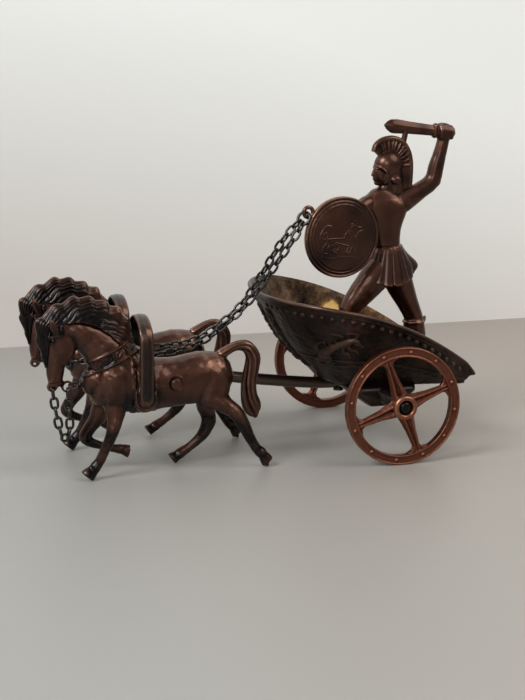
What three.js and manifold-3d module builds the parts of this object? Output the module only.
// A cast figure of a two-horse chariot with a warrior, for a shelf or a desk.
// Millimetres, +Z up. The horses face -X, the axle lies along Y, and the part stands on z = 0.
// Every casting is lofted, revolved or extruded, and joined or cut as a solid.
import * as THREE from 'three';
import { mergeVertices } from 'three/addons/utils/BufferGeometryUtils.js';
import Module from 'manifold-3d';

const wasm = await Module();
wasm.setup();

// Fits
const FIT = 0.3;                   // gap between castings that rest on each other
const RUNNING_CLEARANCE = 0.1;     // radial gap of the axle in the wheels
const RIVET_CLEARANCE = 0.1;       // radial gap of a rivet in its hole
const END_FLOAT = 0.25;            // gap that lets a wheel turn beside its neighbour

// Wheels and axle
const WHEEL_RADIUS = 16;
const TRACK = 64.4;                // from the middle of one wheel to the middle of the other
const RIM_WIDTH = 2.6;             // across the face
const RIM_THICKNESS = 2.2;         // along the axle
const RIM_BEVEL = 0.35;
const SPOKES = 4;
const SPOKE_ROOT = 2.5;            // half width where the spoke meets the hub
const SPOKE_TIP = 1.0;             // half width where it meets the rim
const SPOKE_THICKNESS = 0.62;      // half thickness as a share of the half width
const SPOKE_TURN = 20;             // degrees that the first spoke leans back from upright
const GUSSET_WIDTH = 3.6;          // half width of the flare at the rim
const GUSSET_DEPTH = 1.5;
const GUSSET_THICKNESS = 1.3;
const HUB_RADIUS = 3.3;
const HUB_BEVEL = 0.7;
const HUB_OUTBOARD = 2.9;          // hub length from the wheel's middle plane, outwards
const HUB_INBOARD = 1.8;
const AXLE_RADIUS = 1.1;
const AXLE_HEAD_RADIUS = 1.6;
const AXLE_HEAD_THICKNESS = 0.8;
const AXLE_HEAD_CROWN = 0.7;       // radius of the head's outer face as a share of the head's
const HUB_RECESS_RADIUS = 1.95;
const HUB_RECESS_DEPTH = 1.3;

// Bowl of the chariot
const FLOOR_ABOVE_AXLE = 2;        // from the axle's middle up to the underside of the floor
const FLOOR_THICKNESS = 1.5;
const FLOOR_BOTTOM = WHEEL_RADIUS + FLOOR_ABOVE_AXLE;
const FLOOR_TOP = FLOOR_BOTTOM + FLOOR_THICKNESS;
const WALL = 1.3;
const BOWL_FRONT = -31.3;          // x of the prow's tip
const BOWL_REAR = 24.6;            // x of the tail ends
const RIM_HALF_WIDTH = 29.3;       // widest half width of the rim
const RIM_NOSE_LENGTH = 17;        // from the prow's tip back to the widest place
const RIM_TAIL_HALF_WIDTH = 22;
const PROW_RISE = 24.2;            // from the floor's underside to the rim at the prow's tip
const RIM_SIDE_RISE = 18.4;        // the same above the axle
const RIM_TAIL_RISE = 4.2;         // the same at the tail ends
const FLOOR_FRONT = -13.6;
const FLOOR_SETBACK = 1.4;         // the floor ends this far before the rim's tail ends
const FLOOR_HALF_WIDTH = 17.5;
const FLOOR_NOSE_LENGTH = 13;
const FLOOR_TAIL_HALF_WIDTH = 20.6;
const WALL_BELLY = 1.5;            // how far the wall swells outwards below its middle
const WALL_SAG = 0.6;              // share of the swell that goes down
const BEAD_RADIUS = 0.75;          // rolled edge round the rim
const BEAD_POINTS = 12;
const RIM_OVERSHOOT = 0.165;       // share of its height that the cut for the inside goes on past the rim
const REAR_OVERSHOOT = 8;          // and how far it goes on past the tail ends
const CUT_REACH = 60;              // half size of a block that cuts everything on one side of a plane

// Axle bracket under the floor
const BRACKET_TOP_LENGTH = 19;
const BRACKET_FOOT_LENGTH = 9;
const BRACKET_HALF_WIDTH = 19.5;
const BRACKET_EDGE = 1.4;          // upright edge under the floor, above the taper
const BRACKET_DROP = 3.2;          // from the axle's middle down to the lower face
const BRACKET_FOOT = WHEEL_RADIUS - BRACKET_DROP;
const SLEEVE_RADIUS = 2.4;         // tube that carries the axle out to the wheels

// Team: both horses, on one crossbar at the head of the pole
const TEAM_SPACING = 30;           // between the horses' middle planes
const TEAM_OFFSET = -5;            // the team stands this far to one side of the chariot's middle
const CROSSBAR_X = -60;
const CROSSBAR_Z = 24.4;
const CROSSBAR_RADIUS = 1.4;
const CROSSBAR_HEAD_RADIUS = 1.9;
const CROSSBAR_HEAD = 0.5;
const CROSSBAR_HEAD_ROUND = 0.3;   // how much smaller the head's outer face is
const CROSSBAR_HEAD_GAP = 0.35;    // from a horse's flank to the head
const POLE_RADIUS = 1.6;
const POLE_STEPS = 14;
const POLE_EYE_RADIUS = 2.6;
const POLE_EYE_WIDTH = 5;
const POLE_TAIL_X = -4.2;
const POLE_BELOW_AXLE = 0.1;       // from the axle's middle down to the pole's, at its tail
const POLE_TAIL_Z = WHEEL_RADIUS - POLE_BELOW_AXLE;
const POLE_SHAPE = [[0, 0], [0.2, 0.06], [0.62, 0.48], [1, 1]];   // shares of its run and of its rise
const RIVET_RADIUS = 0.8;
const RIVET_HEAD_RADIUS = 1.5;
const RIVET_HEAD = 0.6;
const POLE_RIVET_X = -7.2;
const BRACKET_RIVET_X = 2.95;      // beside the axle's bore
const BRACKET_RIVET_Y = 13;

// Horses
const HORSE_HALF_WIDTH = 5.8;      // at the barrel
const LEG_OFFSET = 4.3;            // from the horse's middle plane to a leg
const HOOF_PEG_RADIUS = 0.9;
const HOOF_PEG_HEIGHT = 1.1;
const GIRTH_CENTRE = -8;           // x from the crossbar to the middle of the girth band
const GIRTH_WIDTH = 6.4;
const GIRTH_RAISE = 0.55;
const LUG_RADIUS = 1.75;           // eye under the chin, outside
const LIP_EYE_RADIUS = 1.5;
const LUG_WIRE = 0.42;             // radius of the wire of both

// Yoke hoops
const HOOP_TOP = 42;
const HOOP_FOOT = 19.6;
const HOOP_HALF_WIDTH = 8.4;       // outside, at the shoulders of the arch
const HOOP_FOOT_HALF_WIDTH = 7.3;
const HOOP_BAND = 3.7;             // width of the strip along X
const HOOP_THICKNESS = 0.8;
const HOOP_STEPS = 18;
const BOSS_WALL = 0.9;             // of the boss, round the foot of a hoop

// Warrior and shield
const WARRIOR_X = 7;
const LEG_STANCE = 1.7;            // each foot stands this far from the middle plane
const FRONT_STEP = 11.4;           // from the figure's middle to the peg under the front heel
const REAR_STEP = 10.6;            // and to the one under the rear heel
const FOOT_PEG_RADIUS = 0.9;
const FOOT_PEG_ROOT = 0.6;         // length of a foot's peg inside the foot
const PEG_END_GAP = 0.1;           // between a foot's peg and what lies under the floor
const BLADE_THICKNESS = 1.3;
const CREST_WIDTH = 1.9;
const SKIRT_PLEATS = 13;
const PLEAT_DEPTH = 0.35;
const SHIELD_RADIUS = 11.1;
const SHIELD_THICKNESS = 1.3;
const SHIELD_DOME = 0.9;
const SHIELD_RIM = 1.1;            // width of the raised rim
const SHIELD_X = -9.9;
const SHIELD_Y = -9.6;
const SHIELD_RISE = 38.9;          // from the floor to its middle
const SHIELD_Z = FLOOR_TOP + SHIELD_RISE;
const SHIELD_TURN = 9;             // degrees that its face turns towards the rear
const SHIELD_PIN_RADIUS = 0.9;
const SHIELD_PIN_LENGTH = 4.6;
const SHIELD_PIN_SINK = 0.85;      // how far it goes into the shield from the shield's middle plane
const SHIELD_LUG_ANGLE = 144;      // degrees round the rim, from the rear over the top
const SHIELD_LUG_RADIUS = 1.9;
const SHIELD_LUG_WIRE = 0.55;
const REIN_RING_RADIUS = 1.75;     // to the middle of its wire
const REIN_RING_WIRE = 0.32;
const REIN_RING_TILT = 14;         // degrees out of the plane square to the shield

// Chain
const WIRE_RADIUS = 0.34;          // of the three-sided wire, to its corners
const LINK_PITCH = 2.6;
const LINK_WIDTH = 2.3;            // outside
const LINK_SHOULDER = 0.7;         // how far back a link's straight sides begin, as a share of its half width
const LINK_BITE = 0.1;             // the plating fills this much where a link seats in the next
const SEAT = 0.2;                  // gap where a chain's end link hangs in an eye or a ring
const STRAND_GAP = 3.1;            // between the two reins where they run side by side
const REIN_ROOM = 1.5;             // from a horse's flank to the middle of its rein
const SLACK_LOW = 9.6;             // z of the slack chain's lowest link

const HALF_TRACK = TRACK / 2;
const NEAR_HORSE_Y = TEAM_OFFSET - TEAM_SPACING / 2;
const FAR_HORSE_Y = TEAM_OFFSET + TEAM_SPACING / 2;
const FACETS = 16;
const RIVET_SIDES = 8;
const WHEEL_FACETS = 32;
const WALL_SIDES = 16;             // steps of the bowl's wall from the nose to a tail
const WALL_ROWS = 3;               // and from the floor to the rim

const finish = (color, roughness, metalness) => ({ color, roughness, metalness });
const COPPER_BRONZE = finish(0x4a3026, 0.42, 0.85);
const WHEEL_COPPER = finish(0x6b3d2b, 0.4, 0.9);
const BLACK_BRONZE = finish(0x2b2523, 0.5, 0.8);
const DARK_STEEL = finish(0x1f1a18, 0.45, 0.9);

// Solids from geometry, and back

function solid(geometry) {
  const bare = geometry.clone();
  bare.deleteAttribute('normal');
  bare.deleteAttribute('uv');
  const merged = mergeVertices(bare, 1e-4);
  return new wasm.Manifold(new wasm.Mesh({
    numProp: 3,
    vertProperties: new Float32Array(merged.attributes.position.array),
    triVerts: new Uint32Array(merged.index.array),
  }));
}

function join(...parts) {
  return parts.reduce((whole, part) => whole.add(part));
}

function geometryOf(manifold) {
  const mesh = manifold.getMesh();
  const geometry = new THREE.BufferGeometry();
  geometry.setAttribute('position', new THREE.BufferAttribute(new Float32Array(mesh.vertProperties), 3));
  geometry.setIndex(new THREE.BufferAttribute(new Uint32Array(mesh.triVerts), 1));
  geometry.computeVertexNormals();
  return geometry;
}

const group = new THREE.Group();

function piece(name, manifold, { color, roughness, metalness }) {
  const material = new THREE.MeshStandardMaterial({ color, roughness, metalness, flatShading: true });
  const mesh = new THREE.Mesh(geometryOf(manifold), material);
  mesh.name = name;
  group.add(mesh);
  return mesh;
}

// Plain shapes, each with its axis named

function rod(radius, length, axis, centre, sides = FACETS) {
  const geometry = new THREE.CylinderGeometry(radius, radius, length, sides);
  if (axis === 'z') geometry.rotateX(Math.PI / 2);
  if (axis === 'x') geometry.rotateZ(Math.PI / 2);
  return solid(geometry.translate(...centre));
}

function block(low, high) {
  const size = high.map((value, i) => value - low[i]);
  const middle = high.map((value, i) => (value + low[i]) / 2);
  return solid(new THREE.BoxGeometry(...size).translate(...middle));
}

// A ring of round wire. Its hole looks along Y until it is turned.
function eye(radius, wire, centre, sides = 12, sections = 5) {
  const geometry = new THREE.TorusGeometry(radius - wire, wire, sections, sides);
  return solid(geometry.rotateX(Math.PI / 2).translate(...centre));
}

// Closed skin over rows of points: every row is a ring, and a pole closes each end.
function skin(rings, startPole, endPole) {
  const sides = rings[0].length;
  const positions = [...rings.flat(), startPole, endPole].flatMap((point) => [point.x, point.y, point.z]);
  const start = rings.length * sides;
  const index = [];
  for (let side = 0; side < sides; side += 1) {
    const next = (side + 1) % sides;
    for (let row = 0; row < rings.length - 1; row += 1) {
      const a = row * sides;
      const b = a + sides;
      index.push(a + side, b + next, a + next, a + side, b + side, b + next);
    }
    const last = start - sides;
    index.push(start, side, next, start + 1, last + next, last + side);
  }
  const geometry = new THREE.BufferGeometry();
  geometry.setAttribute('position', new THREE.Float32BufferAttribute(positions, 3));
  geometry.setIndex(index);
  return solid(geometry);
}

// A limb: elliptical rings across a smooth path, with a rounded end at both ends.
// A station is [x, z, half depth in the side view, half width along Y, y].
function limb(stations, sides = 10, steps = 1) {
  const path = new THREE.CatmullRomCurve3(
    stations.map(([x, z, , , y = 0]) => new THREE.Vector3(x, y, z)), false, 'catmullrom');
  const girth = new THREE.CatmullRomCurve3(
    stations.map(([, , depth, width]) => new THREE.Vector3(depth, width, 0)), false, 'catmullrom');
  const count = (stations.length - 1) * steps;
  const across = new THREE.Vector3(0, 1, 0);
  const ring = (centre, tangent, depth, width) => {
    const side = across.clone().addScaledVector(tangent, -across.dot(tangent)).normalize();
    const normal = new THREE.Vector3().crossVectors(tangent, side);
    return Array.from({ length: sides }, (_, i) => {
      const angle = (2 * Math.PI * (i + 0.5)) / sides;
      return centre.clone()
        .addScaledVector(normal, depth * Math.cos(angle))
        .addScaledVector(side, width * Math.sin(angle));
    });
  };
  const rings = [];
  const poles = [];
  for (let i = 0; i <= count; i += 1) {
    const t = i / count;
    const centre = path.getPoint(t);
    const tangent = path.getTangent(t);
    const { x: depth, y: width } = girth.getPoint(t);
    const end = i === 0 ? -1 : 1;
    const cap = () => {
      const beyond = centre.clone().addScaledVector(tangent, end * 0.5 * Math.min(depth, width));
      return ring(beyond, tangent, depth * 0.62, width * 0.62);
    };
    const pole = () => centre.clone().addScaledVector(tangent, end * 0.72 * Math.min(depth, width));
    if (i === 0) {
      poles.push(pole());
      rings.push(cap());
    }
    rings.push(ring(centre, tangent, depth, width));
    if (i === count) {
      rings.push(cap());
      poles.push(pole());
    }
  }
  return skin(rings, poles[0], poles[1]);
}

// A flat plate with an outline in the XZ plane, centred on y.
function plate(outline, thickness, y = 0) {
  const shape = new THREE.Shape(outline.map(([x, z]) => new THREE.Vector2(x, z)));
  const geometry = new THREE.ExtrudeGeometry(shape, { depth: thickness, bevelEnabled: false });
  return solid(geometry.rotateX(Math.PI / 2).translate(0, y + thickness / 2, 0));
}

// Outline of a round bar, to carry along a path.
function roundSection(radius, sides) {
  return new THREE.Shape(Array.from({ length: sides }, (_, i) => {
    const angle = (2 * Math.PI * i) / sides;
    return new THREE.Vector2(radius * Math.cos(angle), radius * Math.sin(angle));
  }));
}

// A solid of revolution about Y. The profile is [radius, y] and starts and ends on the axis.
function turned(profile, segments = FACETS) {
  return solid(new THREE.LatheGeometry(profile.map(([r, y]) => new THREE.Vector2(r, y)), segments));
}

// Wheels: the outboard face looks along -Y, so the far wheel is the same casting turned about

function wheelSolid() {
  const inner = WHEEL_RADIUS - RIM_WIDTH;
  const half = RIM_THICKNESS / 2;
  const rim = turned([[0, -half], [WHEEL_RADIUS - RIM_BEVEL, -half], [WHEEL_RADIUS, -half + RIM_BEVEL],
    [WHEEL_RADIUS, half - RIM_BEVEL], [WHEEL_RADIUS - RIM_BEVEL, half], [0, half]], WHEEL_FACETS)
    .subtract(rod(inner, RIM_THICKNESS * 2, 'y', [0, 0, 0], WHEEL_FACETS));
  const spokeLength = inner + RIM_WIDTH / 2;
  const parts = [rim, turned([[0, -HUB_OUTBOARD], [HUB_RADIUS - HUB_BEVEL, -HUB_OUTBOARD],
    [HUB_RADIUS, -HUB_OUTBOARD + HUB_BEVEL], [HUB_RADIUS, HUB_INBOARD], [0, HUB_INBOARD]])];
  for (let i = 0; i < SPOKES; i += 1) {
    const angle = (2 * Math.PI * i) / SPOKES - THREE.MathUtils.degToRad(SPOKE_TURN);
    // Four-sided tapered bar with a ridge along each face
    const bar = new THREE.CylinderGeometry(SPOKE_TIP, SPOKE_ROOT, spokeLength, 4)
      .scale(1, 1, SPOKE_THICKNESS)
      .translate(0, spokeLength / 2, 0)
      .rotateX(Math.PI / 2);
    parts.push(solid(bar.rotateY(angle)));
    const top = inner + RIM_WIDTH / 3;
    const flare = new THREE.Shape([
      new THREE.Vector2(-SPOKE_TIP, inner - GUSSET_DEPTH), new THREE.Vector2(SPOKE_TIP, inner - GUSSET_DEPTH),
      new THREE.Vector2(GUSSET_WIDTH, inner - GUSSET_DEPTH / 3), new THREE.Vector2(GUSSET_WIDTH, top),
      new THREE.Vector2(-GUSSET_WIDTH, top), new THREE.Vector2(-GUSSET_WIDTH, inner - GUSSET_DEPTH / 3)]);
    const gusset = new THREE.ExtrudeGeometry(flare, { depth: GUSSET_THICKNESS, bevelEnabled: false })
      .translate(0, 0, -GUSSET_THICKNESS / 2)
      .rotateX(Math.PI / 2);
    parts.push(solid(gusset.rotateY(angle)));
  }
  const bore = rod(AXLE_RADIUS + RUNNING_CLEARANCE, WHEEL_RADIUS, 'y', [0, 0, 0]);
  const recess = rod(HUB_RECESS_RADIUS, HUB_RECESS_DEPTH * 2, 'y', [0, -HUB_OUTBOARD, 0]);
  return join(...parts).subtract(bore).subtract(recess);
}

function axleSolid() {
  const headInner = HALF_TRACK + HUB_OUTBOARD - HUB_RECESS_DEPTH + END_FLOAT;
  const headOuter = headInner + AXLE_HEAD_THICKNESS;
  const half = [[AXLE_RADIUS, headInner], [AXLE_HEAD_RADIUS, headInner],
    [AXLE_HEAD_RADIUS, headInner + AXLE_HEAD_THICKNESS / 2], [AXLE_HEAD_RADIUS * AXLE_HEAD_CROWN, headOuter],
    [0, headOuter]];
  const mirrored = half.map(([radius, y]) => [radius, -y]).reverse();
  return turned([...mirrored, ...half]).translate([0, 0, WHEEL_RADIUS]);
}

// Bowl: a U in plan, flared from the floor to the rim, high at the prow and low at the tails

const NOSE_SHARE = 0.55;           // share of the outline that rounds the nose
const NOSE_FULLNESS = 0.9;         // below 1, the nose is blunter than an ellipse

// Half width and x of a U-shaped outline at t, from 0 at the nose to 1 at the tail.
function planOutline(t, { front, rear, nose, half, tailHalf }) {
  if (t < NOSE_SHARE) {
    const angle = noseAngle(t);
    return { x: front + nose * (1 - Math.cos(angle)), y: half * Math.sin(angle) ** NOSE_FULLNESS };
  }
  const u = (t - NOSE_SHARE) / (1 - NOSE_SHARE);
  return { x: front + nose + u * (rear - front - nose), y: half + (tailHalf - half) * u * u };
}

// Angle round the nose at t, up to a right angle where the side begins.
function noseAngle(t) {
  return (Math.PI / 2) * Math.min(1, t / NOSE_SHARE);
}

// Rise of the rim over the floor's underside: a parabola through the prow, the side above the axle
// and the tail.
function rimRise(x) {
  const front = (x / BOWL_FRONT) * (x - BOWL_REAR) / (BOWL_FRONT - BOWL_REAR) * PROW_RISE;
  const side = (x - BOWL_FRONT) * (x - BOWL_REAR) / (BOWL_FRONT * BOWL_REAR) * RIM_SIDE_RISE;
  const rear = (x / BOWL_REAR) * (x - BOWL_FRONT) / (BOWL_REAR - BOWL_FRONT) * RIM_TAIL_RISE;
  return front + side + rear;
}

const RIM_PLAN = { front: BOWL_FRONT, rear: BOWL_REAR, nose: RIM_NOSE_LENGTH,
  half: RIM_HALF_WIDTH, tailHalf: RIM_TAIL_HALF_WIDTH };
const FLOOR_PLAN = { front: FLOOR_FRONT, rear: BOWL_REAR - FLOOR_SETBACK, nose: FLOOR_NOSE_LENGTH,
  half: FLOOR_HALF_WIDTH, tailHalf: FLOOR_TAIL_HALF_WIDTH };

// A point of the wall: s runs from 0 at the floor to 1 at the rim.
function wallPoint(t, s) {
  const top = planOutline(t, RIM_PLAN);
  const foot = planOutline(t, FLOOR_PLAN);
  const swell = WALL_BELLY * Math.max(0, Math.sin(Math.PI * s)) ** 1.5;
  const outX = top.x - foot.x;
  const outY = top.y - foot.y;
  const out = Math.hypot(outX, outY) || 1;
  const z = FLOOR_BOTTOM + s * rimRise(top.x);
  return new THREE.Vector3(
    foot.x + s * outX + (swell * outX) / out, foot.y + s * outY + (swell * outY) / out, z - swell * WALL_SAG);
}

const TAIL_SHARE = 0.2;            // share of the wall over which the open rear is drawn out

// A solid hull of the bowl's form, drawn in by inset. Its two sides mirror each other.
function bowlHull(inset, low, high, rearExtra) {
  const point = (i, j, side) => {
    const t = i / WALL_SIDES;
    const p = wallPoint(t, low + ((high - low) * j) / WALL_ROWS);
    const tailward = Math.max(0, 1 - (1 - t) / TAIL_SHARE);
    const x = p.x + inset * Math.cos(noseAngle(t)) + rearExtra * tailward;
    const y = Math.max(0, p.y - inset * Math.sin(noseAngle(t)));
    return new THREE.Vector3(x, side * y, p.z);
  };
  const rows = [];
  for (let j = 0; j <= WALL_ROWS; j += 1) {
    const row = [];
    for (let i = WALL_SIDES; i > 0; i -= 1) row.push(point(i, j, -1));
    for (let i = 0; i <= WALL_SIDES; i += 1) row.push(point(i, j, 1));
    rows.push(row);
  }
  const width = rows[0].length;
  const index = [];
  for (let j = 0; j < WALL_ROWS; j += 1) {
    for (let i = 0; i < width; i += 1) {
      const a = j * width + i;
      const b = j * width + ((i + 1) % width);
      index.push(a, a + width, b, b, a + width, b + width);
    }
  }
  // The floor and the lid are strips between the two sides
  const lid = WALL_ROWS * width;
  for (let i = 0; i < WALL_SIDES; i += 1) {
    const [a, b, c, d] = [i, i + 1, width - 1 - i, width - 2 - i];
    index.push(a, b, c);
    index.push(lid + a, lid + c, lid + b);
    if (b !== d) {
      index.push(b, d, c);
      index.push(lid + b, lid + c, lid + d);
    }
  }
  const geometry = new THREE.BufferGeometry();
  geometry.setAttribute('position', new THREE.Float32BufferAttribute(
    rows.flat().flatMap((p) => [p.x, p.y, p.z]), 3));
  geometry.setIndex(index);
  return solid(geometry);
}

function rimBead(side) {
  const inward = WALL / 2;
  const points = Array.from({ length: BEAD_POINTS }, (_, i) => {
    const p = wallPoint(i / (BEAD_POINTS - 1), 1);
    return new THREE.Vector3(p.x + (i === 0 ? inward : 0), side * Math.max(0, p.y - inward), p.z);
  });
  const curve = new THREE.CatmullRomCurve3(points);
  const along = { steps: WALL_SIDES, extrudePath: curve };
  return solid(new THREE.ExtrudeGeometry(roundSection(BEAD_RADIUS, 6), along));
}

function bowlSolid() {
  const high = FLOOR_BOTTOM + 2 * PROW_RISE;
  const outer = bowlHull(0, 0, 1, 0);
  const inner = bowlHull(WALL, 0, 1 + RIM_OVERSHOOT, REAR_OVERSHOOT);
  const aboveFloor = block([-CUT_REACH, -CUT_REACH, FLOOR_TOP], [CUT_REACH, CUT_REACH, high]);
  let bowl = outer.subtract(inner.intersect(aboveFloor));
  bowl = join(bowl, rimBead(-1), rimBead(1));
  const holes = [[POLE_RIVET_X, poleY(POLE_RIVET_X), RIVET_RADIUS],
    [BRACKET_RIVET_X, BRACKET_RIVET_Y, RIVET_RADIUS], [BRACKET_RIVET_X, -BRACKET_RIVET_Y, RIVET_RADIUS],
    [...LEFT_FOOT, FOOT_PEG_RADIUS], [...RIGHT_FOOT, FOOT_PEG_RADIUS]];
  for (const [x, y, radius] of holes) {
    bowl = bowl.subtract(
      rod(radius + RIVET_CLEARANCE, 8 * FLOOR_THICKNESS, 'z', [x, y, FLOOR_BOTTOM], RIVET_SIDES));
  }
  const sink = rod(RIVET_HEAD_RADIUS + RIVET_CLEARANCE, 2 * (RIVET_HEAD + RIVET_CLEARANCE), 'z',
    [POLE_RIVET_X, poleY(POLE_RIVET_X), FLOOR_TOP], RIVET_SIDES);
  return bowl.subtract(sink);
}

// Pole and crossbar

// The pole's middle line leans a little to the team's side.
function poleY(x) {
  return (TEAM_OFFSET * x) / CROSSBAR_X;
}

function poleCurve() {
  const run = CROSSBAR_X - POLE_TAIL_X;
  const rise = CROSSBAR_Z - POLE_TAIL_Z;
  return new THREE.CatmullRomCurve3(POLE_SHAPE.map(([along, lift]) => {
    const x = POLE_TAIL_X + along * run;
    return new THREE.Vector3(x, poleY(x), POLE_TAIL_Z + lift * rise);
  }));
}

function poleBar(radius) {
  const along = { steps: POLE_STEPS, extrudePath: poleCurve() };
  return solid(new THREE.ExtrudeGeometry(roundSection(radius, 10), along));
}

function poleSolid() {
  const head = [CROSSBAR_X, TEAM_OFFSET, CROSSBAR_Z];
  const eyeRing = rod(POLE_EYE_RADIUS, POLE_EYE_WIDTH, 'y', head);
  const hole = rod(CROSSBAR_RADIUS + RIVET_CLEARANCE, 2 * POLE_EYE_WIDTH, 'y', head);
  const rivetHole = rod(RIVET_RADIUS + RIVET_CLEARANCE, 4 * POLE_RADIUS, 'z',
    [POLE_RIVET_X, poleY(POLE_RIVET_X), POLE_TAIL_Z], RIVET_SIDES);
  return join(poleBar(POLE_RADIUS), eyeRing).subtract(hole).subtract(rivetHole);
}

function crossbarSolid() {
  const face = TEAM_SPACING / 2 + HORSE_HALF_WIDTH + CROSSBAR_HEAD_GAP;
  const end = face + CROSSBAR_HEAD;
  const crown = CROSSBAR_HEAD_RADIUS - CROSSBAR_HEAD_ROUND;
  const half = [[CROSSBAR_RADIUS, face], [CROSSBAR_HEAD_RADIUS, face],
    [CROSSBAR_HEAD_RADIUS, face + CROSSBAR_HEAD / 2], [crown, end], [0, end]];
  const mirrored = half.map(([radius, y]) => [radius, -y]).reverse();
  return turned([...mirrored, ...half]).translate([CROSSBAR_X, TEAM_OFFSET, CROSSBAR_Z]);
}

// Axle bracket: a tapered block under the floor with a sleeve out to each wheel

function bracketSolid() {
  const top = BRACKET_TOP_LENGTH / 2;
  const foot = BRACKET_FOOT_LENGTH / 2;
  const edge = FLOOR_BOTTOM - BRACKET_EDGE;
  const half = [[foot, BRACKET_FOOT], [top, edge], [top, FLOOR_BOTTOM]];
  const mirrored = half.map(([x, z]) => [-x, z]).reverse();
  const body = plate([...mirrored, ...half], BRACKET_HALF_WIDTH * 2);
  const reach = HALF_TRACK - HUB_INBOARD - END_FLOAT;
  const sleeve = rod(SLEEVE_RADIUS, reach * 2, 'y', [0, 0, WHEEL_RADIUS]);
  const below = block([-CUT_REACH, -CUT_REACH, 0], [CUT_REACH, CUT_REACH, FLOOR_BOTTOM]);
  let bracket = join(body, sleeve.intersect(below));
  bracket = bracket.subtract(rod(AXLE_RADIUS + RUNNING_CLEARANCE, 2 * TRACK, 'y', [0, 0, WHEEL_RADIUS]));
  bracket = bracket.subtract(poleBar(POLE_RADIUS + FIT));
  bracket = bracket.subtract(block([-top - 1, poleY(POLE_RIVET_X) - POLE_RADIUS - FIT, WHEEL_RADIUS],
    [POLE_TAIL_X + FIT, poleY(POLE_RIVET_X) + POLE_RADIUS + FIT, FLOOR_BOTTOM + 1]));
  // Pocket for the head of the pole's rivet
  bracket = bracket.subtract(rod(RIVET_HEAD_RADIUS + FIT, POLE_TAIL_Z, 'z',
    [POLE_RIVET_X, poleY(POLE_RIVET_X), POLE_TAIL_Z / 2], RIVET_SIDES));
  for (const side of [-1, 1]) {
    bracket = bracket.subtract(rod(RIVET_RADIUS + RIVET_CLEARANCE, 2 * FLOOR_BOTTOM, 'z',
      [BRACKET_RIVET_X, side * BRACKET_RIVET_Y, BRACKET_FOOT], RIVET_SIDES));
  }
  return bracket;
}

// A rivet through the floor. Its lower head sits at low, and its upper head on the floor or flush in it.
function rivetSolid(x, y, low, flush = false) {
  const top = flush ? FLOOR_TOP - RIVET_CLEARANCE : FLOOR_TOP + RIVET_HEAD;
  const bottom = low - RIVET_HEAD;
  const shank = rod(RIVET_RADIUS, top - bottom, 'z', [x, y, (top + bottom) / 2], RIVET_SIDES);
  const head = (z) => rod(RIVET_HEAD_RADIUS, RIVET_HEAD, 'z', [x, y, z], RIVET_SIDES);
  return join(shank, head(top - RIVET_HEAD / 2), head(bottom + RIVET_HEAD / 2));
}

// Horse: x runs from the crossbar, z from the ground, y from the horse's own middle plane

const BARREL = [[17.6, 24.6, 3.4, 3.2], [15.4, 25, 6.2, 5.2], [11, 24.6, 7, HORSE_HALF_WIDTH],
  [5, 24.2, 6.6, HORSE_HALF_WIDTH], [-2, 23.6, 6.7, HORSE_HALF_WIDTH], [-9, 23.8, 7.5, HORSE_HALF_WIDTH],
  [-15, 25, 8, 5.5], [-18.8, 25, 6.6, 4.8], [-20.7, 25.4, 4, 2.9]];
const NECK = [[-12.5, 28, 6.8, 4.9], [-16.5, 32, 6.2, 4.3], [-20.5, 35.8, 4.7, 3.6], [-24.6, 38.2, 3.5, 2.9],
  [-27.6, 38.6, 2.9, 2.6]];
const HEAD = [[-27.8, 40, 2.6, 2.3], [-28.9, 37.2, 3.8, 3], [-29.4, 33.6, 3.5, 2.9], [-29.9, 30, 2.7, 2.3],
  [-30.1, 27.2, 2.4, 2.1], [-30.3, 25.6, 1.9, 1.8]];
const EAR = [[-30.2, 39.6, 1, 0.8, 1.5], [-31, 41.2, 0.8, 0.6, 1.8], [-31.6, 42.6, 0.35, 0.35, 1.9]];
const MANE = [[-34.2, 33, 1, 0.9], [-35, 37, 1.7, 1.5], [-33.8, 41.6, 2.6, 2], [-29.4, 43.6, 3.3, 2.5],
  [-24, 44.4, 3.2, 2.7], [-18.4, 42.2, 3.1, 2.6], [-13.6, 38, 2.8, 2.3], [-10.4, 33.6, 1.8, 1.6]];
const TAIL = [[13.6, 29.6, 1.6, 1.7], [17.2, 31.9, 1.7, 1.9], [20.4, 31.9, 1.9, 2], [22.3, 28.4, 2.4, 2.1],
  [21.8, 22.6, 2.6, 2.2], [22.4, 17, 2.7, 2.1], [23.1, 13.6, 1.6, 1.3]];
const HIND_REACHING = [[14, 22.4, 5, 3.4, -1.6], [15.4, 17.2, 3.7, 2.9, -3],
  [18.6, 12.5, 2.3, 2, -LEG_OFFSET],
  [21.2, 8.2, 1.6, 1.5, -LEG_OFFSET], [23.3, 5.2, 1.25, 1.3, -LEG_OFFSET],
  [24.9, 2.6, 1.6, 1.5, -LEG_OFFSET]];
const HIND_FORWARD = [[12, 21, 4.6, 3, 1.6], [10.2, 15.6, 3.1, 2.4, 3], [10.6, 11.4, 2.3, 1.9, LEG_OFFSET],
  [8.6, 7.6, 1.6, 1.5, LEG_OFFSET], [4.8, 4.6, 1.35, 1.3, LEG_OFFSET],
  [1.2, 2.3, 1.5, 1.5, LEG_OFFSET]];
const FORE_PLANTED = [[-15.6, 20.6, 4, 3, -2], [-15.6, 15.6, 2.7, 2.2, -3.4],
  [-17.4, 11, 1.9, 1.7, -LEG_OFFSET], [-19.4, 6.6, 1.45, 1.4, -LEG_OFFSET],
  [-21, 3.4, 1.4, 1.4, -LEG_OFFSET], [-23.6, 1.1, 1.7, 1.6, -LEG_OFFSET]];
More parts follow.
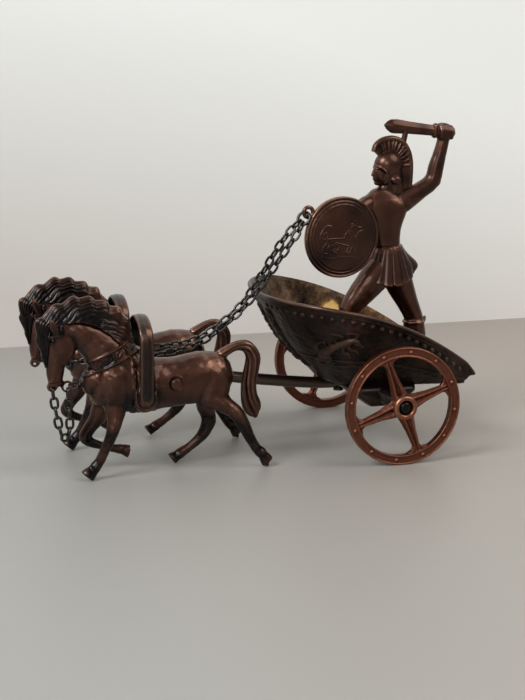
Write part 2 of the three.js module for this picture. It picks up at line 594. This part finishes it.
const FORE_BENT = [[-17, 19.4, 3.6, 2.6, 2], [-19.6, 14, 2.3, 2, 3.4], [-22.8, 9.6, 1.75, 1.6, LEG_OFFSET],
  [-18.8, 7.2, 1.35, 1.3, LEG_OFFSET], [-15, 5.7, 1.3, 1.3, LEG_OFFSET],
  [-11.6, 5.2, 1.7, 1.5, LEG_OFFSET]];
const CHIN = [-27.3, 24.2];
const LIP = [-31.2, 24.4];

// The barrel again, thicker by raise, for what is cast proud of it.
function barrelRaised(raise) {
  return limb(BARREL.map(([x, z, depth, width]) => [x, z, depth + raise, width + raise]), 10);
}

function horseSolid(y) {
  const ears = [-1, 1].map((side) => limb(EAR.map(([x, z, d, w, out]) => [x, z, d, w, side * out]), 5));
  const slice = block([GIRTH_CENTRE - GIRTH_WIDTH / 2, -CUT_REACH, 0],
    [GIRTH_CENTRE + GIRTH_WIDTH / 2, CUT_REACH, CUT_REACH]);
  const girth = barrelRaised(GIRTH_RAISE).intersect(slice);
  // A round boss through the barrel, which shows on each flank, where the feet of the yoke hoop are let in
  const bossRadius = HOOP_BAND / 2 + BOSS_WALL;
  const boss = rod(bossRadius, 2 * (HOOP_FOOT_HALF_WIDTH - HOOP_THICKNESS / 2), 'y',
    [GIRTH_CENTRE, 0, HOOP_FOOT - BOSS_WALL + bossRadius]);
  const legs = [HIND_REACHING, HIND_FORWARD, FORE_PLANTED, FORE_BENT].map((stations) => limb(stations, 6));
  let horse = join(limb(BARREL, 10), limb(NECK, 8), limb(HEAD, 8), limb(MANE, 7), limb(TAIL, 7), ...legs,
    ...ears, girth, boss);
  horse = horse.intersect(block([-CUT_REACH, -CUT_REACH, 0], [CUT_REACH, CUT_REACH, CUT_REACH]));
  const [pegX, pegZ] = HIND_REACHING[HIND_REACHING.length - 1];
  const peg = rod(HOOF_PEG_RADIUS, HOOF_PEG_HEIGHT + pegZ, 'z',
    [pegX, -LEG_OFFSET, (HOOF_PEG_HEIGHT + pegZ) / 2], RIVET_SIDES);
  const chinEye = eye(LUG_RADIUS, LUG_WIRE, [CHIN[0], 0, CHIN[1]], 10, 4);
  const lipEye = eye(LIP_EYE_RADIUS, LUG_WIRE, [LIP[0], 0, LIP[1]], 10, 4);
  horse = join(horse, peg, chinEye, lipEye);
  const pinHole = rod(CROSSBAR_RADIUS + RIVET_CLEARANCE, 4 * HORSE_HALF_WIDTH, 'y', [0, 0, CROSSBAR_Z], 12);
  return horse.subtract(pinHole).translate([CROSSBAR_X, y, 0]);
}

// Yoke hoop: one strip bent over the withers, with its ends in the girth band

function hoopSolid(y, grow = 0) {
  const half = HOOP_HALF_WIDTH - HOOP_THICKNESS / 2;
  const foot = HOOP_FOOT_HALF_WIDTH - HOOP_THICKNESS / 2;
  const top = HOOP_TOP - HOOP_THICKNESS / 2;
  const rise = top - HOOP_FOOT;
  // A leg as shares of the half width and of the rise, from the foot to the shoulder of the arch
  const leg = [[foot / half, 0], [0.956, 0.28], [1, 0.55], [0.84, 0.87]];
  const side = (s) => leg.map(([out, up]) => [s * half * out, HOOP_FOOT + rise * up]);
  const points = [...side(-1), [0, top], ...side(1).reverse()];
  const curve = new THREE.CatmullRomCurve3(points.map(([py, pz]) => new THREE.Vector3(0, py, pz)));
  const wide = HOOP_BAND / 2 + grow;
  const thick = HOOP_THICKNESS / 2 + grow;
  // The strip is a shallow roof in section, thicker along its middle
  const roof = [[-1, -0.5], [-1, 0.8], [0, 1.4], [1, 0.8], [1, -0.5], [0, -1]];
  const section = new THREE.Shape(roof.map(([across, out]) => new THREE.Vector2(across * wide, out * thick)));
  const geometry = new THREE.ExtrudeGeometry(section, { steps: HOOP_STEPS, extrudePath: curve });
  return solid(geometry.translate(CROSSBAR_X + GIRTH_CENTRE, y, 0));
}

// Warrior: x from the figure's middle, z from the floor of the bowl

const WAIST_Z = 34.4;
const TORSO = [[0.4, 30.4, 4.2, 3.6], [0, 34.6, 3.9, 3.2], [-0.4, 39.4, 5, 3.5], [-0.3, 44.4, 6.2, 3.8],
  [-0.2, 48, 6.4, 3.4], [0, 49.8, 3.6, 2.5]];
const NECK_COLUMN = [[-0.1, 48.4, 2.5, 2.3], [-0.3, 51.4, 2.1, 2.1]];
const SKULL = [[-0.5, 50.6, 2.6, 2.3], [-0.6, 53, 3.8, 3.2], [-0.6, 56.2, 4.2, 3.6], [-0.4, 59.2, 3.6, 3.2],
  [-0.2, 60.6, 1.9, 1.8]];
const CREST = [[-4.4, 61.2, 0.8], [-2.4, 63.2, 1.4], [1.2, 64, 1.5], [4.4, 62.3, 1.5], [6.1, 58.6, 1.4],
  [6.3, 53, 1.3], [5.9, 48.2, 1.1], [5.5, 45.8, 0.6]].map(([x, z, depth]) => [x, z, depth, CREST_WIDTH / 2]);
const SWORD_ARM = [[4.6, 48, 2.7, 2.6], [9.4, 49.4, 2.6, 2.4], [13, 52, 2.2, 2.1], [14.4, 56, 2.1, 2],
  [15.4, 60.4, 1.8, 1.7], [16.2, 64, 1.6, 1.6], [16.4, 66, 2, 1.9], [16.3, 67.6, 1.6, 1.6]];
const SHIELD_ARM = [[-5, 47, 2.6, 2.6, 0], [-8.4, 46.2, 2.3, 2.3, -1.4], [-12.6, 42.8, 2, 2, -4.2],
  [-17.1, 39, 1.8, 1.8, -7.4]];
const BENT_LEG = [[-3, 28, 4.4, 3.6, -1], [-7, 23.6, 3.8, 3.2, -LEG_STANCE],
  [-11.7, 18.2, 2.9, 2.6, -LEG_STANCE], [-12.1, 13.4, 2.5, 2.4, -LEG_STANCE],
  [-11.6, 7, 2.1, 2, -LEG_STANCE], [-11.8, 2.6, 1.7, 1.6, -LEG_STANCE]];
const STRAIGHT_LEG = [[2.6, 28, 4.4, 3.6, 1], [5.4, 22, 3.9, 3.4, LEG_STANCE],
  [7.4, 15.6, 3.2, 2.9, LEG_STANCE], [8.7, 11.6, 2.9, 2.7, LEG_STANCE],
  [9.6, 6.6, 2.5, 2.3, LEG_STANCE], [10, 2.6, 1.9, 1.8, LEG_STANCE]];
const BOOT = [[8.5, 12, 3.2, 3, LEG_STANCE], [9, 9.6, 3.1, 2.9, LEG_STANCE], [9.5, 7, 2.8, 2.6, LEG_STANCE]];
const STRUT = [[4, 63, 0.6, 0.6], [4.6, 66.6, 0.55, 0.55]];   // holds the blade over the crest
const LEFT_FOOT = [WARRIOR_X - FRONT_STEP, -LEG_STANCE];     // x and y of the peg under the heel
const RIGHT_FOOT = [WARRIOR_X + REAR_STEP, LEG_STANCE];
const GRIP = [16.4, 66];
const BLADE_TILT = 7;              // degrees that the blade rises towards its tip
const BLADE_LENGTH = 15.6;
const BLADE_ROOT = 1.4;            // half width at the guard
const BLADE_MIDDLE = 1.55;         // half width halfway along
const BLADE_BELLY = 2.05;          // half width near the tip
const BLADE_POINT = 0.3;           // half width of the blunt tip
const GUARD_OFFSET = 2.6;          // from the guard to the middle of the grip
const GUARD_SIZE = [1.2, 2.6, 4.4];
const HILT_RADIUS = 0.9;
const HILT_LENGTH = 8;
const HILT_START = -0.4;           // the hilt begins inside the guard
const POMMEL_RADIUS = 1.35;
const POMMEL_AT = 7.2;             // from the guard
const HEEL_RADIUS = 1.7;
const STEP_LENGTH = 5.2;           // from the heel to the toe

function foot(x, y) {
  const heel = x - WARRIOR_X + 0.4;
  return limb([[heel, 1.5, HEEL_RADIUS, HEEL_RADIUS, y], [heel - STEP_LENGTH * 0.54, 1.2, 1.5, 1.6, y],
    [heel - STEP_LENGTH, 0.8, 1.1, 1.3, y]], 8);
}

// Pleated skirt: a flared body whose lower edge waves once for each pleat. A level is
// [x, height over the waist, half length, half width, share of the pleats' depth].
const SKIRT_LEVELS = [[0.6, 0.6, 4, 3.4, 0], [0.5, -1.6, 4.9, 4, 0.4], [0.3, -5.4, 7.2, 5.2, 0.8],
  [0.2, -9.2, 8.5, 5.9, 1]];
const SKIRT_TILT = 1.3;            // the hem rises this much towards the rear
const SKIRT_HOLLOW = 1.4;          // depth of the hollow under the hem

function skirtSolid() {
  const sides = SKIRT_PLEATS * 2;
  const ring = ([x, rise, rx, ry, pleat]) => Array.from({ length: sides }, (_, i) => {
    const angle = (2 * Math.PI * i) / sides;
    const wave = 1 + ((i % 2 ? -1 : 1) * PLEAT_DEPTH * pleat) / rx;
    const tilt = pleat * SKIRT_TILT * Math.cos(angle);
    const z = WAIST_Z + rise + tilt;
    return new THREE.Vector3(x + rx * wave * Math.cos(angle), ry * wave * Math.sin(angle), z);
  });
  const [topX, topRise] = SKIRT_LEVELS[0];
  const [lowX, lowRise] = SKIRT_LEVELS[SKIRT_LEVELS.length - 1];
  return skin(SKIRT_LEVELS.map(ring), new THREE.Vector3(topX, 0, WAIST_Z + topRise),
    new THREE.Vector3(lowX, 0, WAIST_Z + lowRise + SKIRT_HOLLOW));
}

function swordSolid() {
  const edge = [[0, BLADE_ROOT], [-0.5, BLADE_MIDDLE], [-0.85, BLADE_BELLY], [-1, BLADE_POINT]]
    .map(([share, half]) => [share * BLADE_LENGTH, half]);
  const back = edge.map(([x, half]) => [x, -half]).reverse();
  const blade = plate([...edge, ...back], BLADE_THICKNESS);
  const guard = solid(new THREE.BoxGeometry(...GUARD_SIZE));
  const hilt = rod(HILT_RADIUS, HILT_LENGTH, 'x', [HILT_START + HILT_LENGTH / 2, 0, 0], RIVET_SIDES);
  const pommel = solid(new THREE.SphereGeometry(POMMEL_RADIUS, 8, 5).translate(POMMEL_AT, 0, 0));
  return join(blade, guard, hilt, pommel)
    .rotate([0, BLADE_TILT, 0])
    .translate([GRIP[0] - GUARD_OFFSET, 0, GRIP[1]]);
}

function warriorSolid() {
  let figure = join(limb(TORSO, 10), limb(NECK_COLUMN, 8), limb(SKULL, 10), limb(CREST, 6),
    limb(SWORD_ARM, 7), limb(SHIELD_ARM, 7), skirtSolid(), limb(BENT_LEG, 8), limb(STRAIGHT_LEG, 8),
    limb(BOOT, 8), foot(...LEFT_FOOT), foot(...RIGHT_FOOT), swordSolid(), limb(STRUT, 6));
  figure = figure.translate([WARRIOR_X, 0, FLOOR_TOP]);
  figure = figure.intersect(
    block([-CUT_REACH, -CUT_REACH, FLOOR_TOP], [CUT_REACH, CUT_REACH, FLOOR_TOP + 2 * CUT_REACH]));
  const pegLength = FLOOR_THICKNESS + FOOT_PEG_ROOT;
  const pegs = [LEFT_FOOT, RIGHT_FOOT].map(([x, y]) => rod(FOOT_PEG_RADIUS, pegLength, 'z',
    [x, y, FLOOR_BOTTOM + PEG_END_GAP + pegLength / 2], RIVET_SIDES));
  const pinHole = shieldPinSolid(SHIELD_PIN_RADIUS + RIVET_CLEARANCE);
  return join(figure, ...pegs).subtract(pinHole);
}

// Shield: a shallow dome with a raised rim, and an eye for the reins

function placeShield(manifold) {
  return manifold.rotate([0, 0, SHIELD_TURN]).translate([SHIELD_X, SHIELD_Y, SHIELD_Z]);
}

// The pin runs from the shield's back into the warrior's hand, along the shield's axis.
function shieldPinSolid(radius) {
  const middleY = SHIELD_PIN_LENGTH / 2 - SHIELD_PIN_SINK;
  return placeShield(rod(radius, SHIELD_PIN_LENGTH, 'y', [0, middleY, 0], 12));
}

function shieldSolid() {
  const r = SHIELD_RADIUS;
  const front = -SHIELD_THICKNESS / 2;
  const back = SHIELD_THICKNESS / 2;
  const face = [[0, front - SHIELD_DOME], [r * 0.45, front - SHIELD_DOME * 0.8], [r * 0.8, front - 0.2],
    [r - SHIELD_RIM, front + 0.15], [r - SHIELD_RIM * 0.8, front - 0.25], [r - 0.3, front - 0.25],
    [r, front + 0.1]];
  const hollow = [[r, back], [r * 0.8, back], [r * 0.45, back - SHIELD_DOME * 0.6],
    [0, back - SHIELD_DOME * 0.8]];
  const dish = turned([...face, ...hollow], 28);
  const angle = THREE.MathUtils.degToRad(SHIELD_LUG_ANGLE);
  const out = r + SHIELD_LUG_RADIUS - SHIELD_LUG_WIRE;
  const lugMiddle = [out * Math.cos(angle), 0, out * Math.sin(angle)];
  const lug = eye(SHIELD_LUG_RADIUS, SHIELD_LUG_WIRE, lugMiddle, 10, 4);
  const holeBottom = -SHIELD_PIN_SINK - RIVET_CLEARANCE;
  const hole = rod(SHIELD_PIN_RADIUS + RIVET_CLEARANCE, SHIELD_RADIUS, 'y',
    [0, holeBottom + SHIELD_RADIUS / 2, 0], 12);
  return placeShield(join(dish, lug).subtract(hole));
}

// Chain of welded links. Each link is turned a quarter turn from the last.

// A link has six corners: one at each end and two on each side. Its wire is three-sided.
function linkGeometry(pitch) {
  const end = (pitch - LINK_BITE) / 2 + WIRE_RADIUS / 2;   // the inner face is half a radius in
  const side = LINK_WIDTH / 2 - WIRE_RADIUS;
  const shoulder = end - side * LINK_SHOULDER;
  const corners = [[end, 0, 1, 0], [shoulder, side, 1, 3], [-shoulder, side, -1, 3], [-end, 0, -1, 0],
    [-shoulder, -side, -1, -3], [shoulder, -side, 1, -3]];
  const third = (2 * Math.PI) / 3;
  const rings = corners.map(([x, y, outX, outY]) => {
    const out = new THREE.Vector3(outX, outY, 0).normalize();
    return [0, 1, 2].map((k) => new THREE.Vector3(x, y, WIRE_RADIUS * Math.sin(k * third))
      .addScaledVector(out, WIRE_RADIUS * Math.cos(k * third)));
  });
  const index = [];
  rings.forEach((_, i) => {
    for (let k = 0; k < 3; k += 1) {
      const [a, b] = [i * 3 + k, i * 3 + ((k + 1) % 3)];
      const next = ((i + 1) % rings.length) * 3;
      const [c, d] = [next + k, next + ((k + 1) % 3)];
      index.push(a, c, b, b, c, d);
    }
  });
  const geometry = new THREE.BufferGeometry();
  geometry.setAttribute('position', new THREE.Float32BufferAttribute(
    rings.flat().flatMap((p) => [p.x, p.y, p.z]), 3));
  geometry.setIndex(index);
  return geometry;
}

// A chain along a path. The first link lies across Y if startTwist is 0, and square to that if it is 90.
// Every next link is turned a quarter turn, so even says how the last one lies.
function chainSolid(points, startTwist, even) {
  const curve = new THREE.CatmullRomCurve3(points.map((p) => new THREE.Vector3(...p)), false, 'centripetal');
  const pairs = Math.round((curve.getLength() / LINK_PITCH - (even ? 0 : 1)) / 2);
  const links = pairs * 2 + (even ? 0 : 1);
  const spots = curve.getSpacedPoints(links);
  const across = new THREE.Vector3(0, 1, 0);
  const chain = [];
  for (let i = 0; i < links; i += 1) {
    const along = spots[i + 1].clone().sub(spots[i]);
    const pitch = along.length();
    along.normalize();
    const side = across.clone().addScaledVector(along, -across.dot(along)).normalize();
    const up = new THREE.Vector3().crossVectors(along, side);
    const twist = THREE.MathUtils.degToRad(startTwist + (i % 2) * 90);
    const wide = side.clone().multiplyScalar(Math.cos(twist)).addScaledVector(up, Math.sin(twist));
    const deep = new THREE.Vector3().crossVectors(along, wide);
    const middle = spots[i].clone().add(spots[i + 1]).multiplyScalar(0.5);
    const frame = new THREE.Matrix4().makeBasis(along, wide, deep).setPosition(middle);
    chain.push(solid(linkGeometry(pitch).applyMatrix4(frame)));
  }
  return join(...chain);
}

// Middle of the shield's eye
function shieldEye() {
  const angle = THREE.MathUtils.degToRad(SHIELD_LUG_ANGLE);
  const turn = THREE.MathUtils.degToRad(SHIELD_TURN);
  const out = SHIELD_RADIUS + SHIELD_LUG_RADIUS - SHIELD_LUG_WIRE;
  return new THREE.Vector3(SHIELD_X + out * Math.cos(angle) * Math.cos(turn),
    SHIELD_Y + out * Math.cos(angle) * Math.sin(turn), SHIELD_Z + out * Math.sin(angle));
}

const REIN_DROP = new THREE.Vector3(-0.6, 0.05, -0.8).normalize();   // way that the reins leave the shield

// The rein ring hangs in the shield's eye, and both reins hang in it.
function reinRing() {
  const hang = SHIELD_LUG_RADIUS - SHIELD_LUG_WIRE - SHIELD_LUG_WIRE - REIN_RING_WIRE - SEAT;
  const middle = shieldEye().addScaledVector(REIN_DROP, hang + REIN_RING_RADIUS);
  const sideways = new THREE.Vector3().crossVectors(REIN_DROP, new THREE.Vector3(0, 1, 0)).normalize();
  const tilt = THREE.MathUtils.degToRad(REIN_RING_TILT);
  const along = new THREE.Vector3(0, Math.cos(tilt), 0).addScaledVector(sideways, Math.sin(tilt));
  along.addScaledVector(REIN_DROP, -along.dot(REIN_DROP)).normalize();
  const normal = new THREE.Vector3().crossVectors(REIN_DROP, along);
  const frame = new THREE.Matrix4().makeBasis(REIN_DROP, along, normal).setPosition(middle);
  return { middle, along, frame };
}

function reinRingSolid() {
  const ring = new THREE.TorusGeometry(REIN_RING_RADIUS, REIN_RING_WIRE, 5, 14);
  return solid(ring.applyMatrix4(reinRing().frame));
}

// Where a rein starts in the ring: side is -1 for the near horse's rein.
function reinStart(side) {
  const { middle, along } = reinRing();
  const spread = 0.3 * side;
  const wire = middle.clone().addScaledVector(REIN_DROP, REIN_RING_RADIUS * Math.cos(spread))
    .addScaledVector(along, REIN_RING_RADIUS * Math.sin(spread));
  const grip = LINK_BITE / 2 + REIN_RING_WIRE + SEAT;
  return { first: wire.clone().addScaledVector(REIN_DROP, -grip), along };
}

// Where a chain's end link hangs in a horse's eye: from the wire's middle to the end of the link's path.
const EYE_GRIP = LINK_BITE / 2 + LUG_WIRE + SEAT;

// Reins: from the ring, past the prow, forward between the horses and round each chest to the chin eye.
function reinSolid(side, horseY) {
  const { first, along } = reinStart(side);
  const second = first.clone().addScaledVector(REIN_DROP, LINK_PITCH).addScaledVector(along, side * 0.35);
  const third = first.clone().addScaledVector(REIN_DROP, LINK_PITCH * 2.5).addScaledVector(along, side * 0.8);
  const middleY = TEAM_OFFSET + side * STRAND_GAP / 2;
  const inner = horseY - side * (HORSE_HALF_WIDTH + REIN_ROOM);
  const eyeX = CROSSBAR_X + CHIN[0] + LUG_RADIUS - LUG_WIRE;
  const route = [
    [-36.4, middleY - 1.6, 40.8],
    [-43.2, middleY - 1.2, 34.9],
    [-50, middleY - 0.6 + side, 30.8],
    [CROSSBAR_X, TEAM_OFFSET + side * 4.4, CROSSBAR_Z + POLE_EYE_RADIUS + 1.9],
    [CROSSBAR_X - 11, TEAM_OFFSET + side * 4.8, 27.6],
    [CROSSBAR_X - 19, inner + side * 0.4, 25.4],
    [CROSSBAR_X - 22.3, inner + side * 2.8, 24.6],
    [eyeX + 2.4, horseY - side * 1.1, CHIN[1]],
    [eyeX - EYE_GRIP, horseY, CHIN[1]]];
  return chainSolid([first.toArray(), second.toArray(), third.toArray(), ...route], 90, true);
}

// Slack chain from the eye at the lip, down in a loop, and up to the chin eye
function slackSolid(horseY) {
  const lipX = CROSSBAR_X + LIP[0];
  const chinX = CROSSBAR_X + CHIN[0];
  const lipZ = LIP[1] - (LIP_EYE_RADIUS - LUG_WIRE) + EYE_GRIP;
  const chinZ = CHIN[1] - (LUG_RADIUS - LUG_WIRE) + EYE_GRIP;
  const route = [
    [lipX, horseY, lipZ],
    [lipX, horseY, lipZ - 3],
    [lipX + 0.9, horseY + 0.2, SLACK_LOW + 6],
    [lipX + 2.4, horseY + 0.4, SLACK_LOW + 0.8],
    [chinX + 0.6, horseY + 0.4, SLACK_LOW + 2.2],
    [chinX + 0.2, horseY + 0.2, SLACK_LOW + 7],
    [chinX, horseY, chinZ - 3],
    [chinX, horseY, chinZ]];
  return chainSolid(route, 0, false);
}

// Build

const copies = [['near', -1], ['far', 1]];
for (const [name, side] of copies) {
  const wheel = side < 0 ? wheelSolid() : wheelSolid().rotate([0, 0, 180]);
  piece(`wheel_${name}`, wheel.translate([0, side * HALF_TRACK, WHEEL_RADIUS]), WHEEL_COPPER);
}
piece('axle', axleSolid(), DARK_STEEL);
piece('axle_bracket', bracketSolid(), BLACK_BRONZE);
piece('chariot_bowl', bowlSolid(), BLACK_BRONZE);
piece('pole', poleSolid(), BLACK_BRONZE);
const poleUnderside = POLE_TAIL_Z - POLE_RADIUS - RIVET_CLEARANCE;
piece('pole_rivet', rivetSolid(POLE_RIVET_X, poleY(POLE_RIVET_X), poleUnderside, true), BLACK_BRONZE);
for (const [name, side] of copies) {
  piece(`bracket_rivet_${name}`,
    rivetSolid(BRACKET_RIVET_X, side * BRACKET_RIVET_Y, BRACKET_FOOT), BLACK_BRONZE);
}
piece('crossbar', crossbarSolid(), COPPER_BRONZE);
for (const [name, y] of [['near', NEAR_HORSE_Y], ['far', FAR_HORSE_Y]]) {
  piece(`horse_${name}`, horseSolid(y).subtract(hoopSolid(y, FIT)), COPPER_BRONZE);
  piece(`yoke_hoop_${name}`, hoopSolid(y), COPPER_BRONZE);
}
piece('warrior', warriorSolid(), COPPER_BRONZE);
piece('shield', shieldSolid(), COPPER_BRONZE);
piece('shield_pin', shieldPinSolid(SHIELD_PIN_RADIUS), DARK_STEEL);
piece('rein_ring', reinRingSolid(), DARK_STEEL);
piece('rein_near', reinSolid(-1, NEAR_HORSE_Y), DARK_STEEL);
piece('rein_far', reinSolid(1, FAR_HORSE_Y), DARK_STEEL);
piece('slack_chain', slackSolid(NEAR_HORSE_Y), DARK_STEEL);

// The origin is the middle of the box's lower face
const bounds = new THREE.Box3().setFromObject(group);
const middle = bounds.getCenter(new THREE.Vector3());
group.children.forEach((mesh) => mesh.geometry.translate(-middle.x, -middle.y, -bounds.min.z));

export default group;
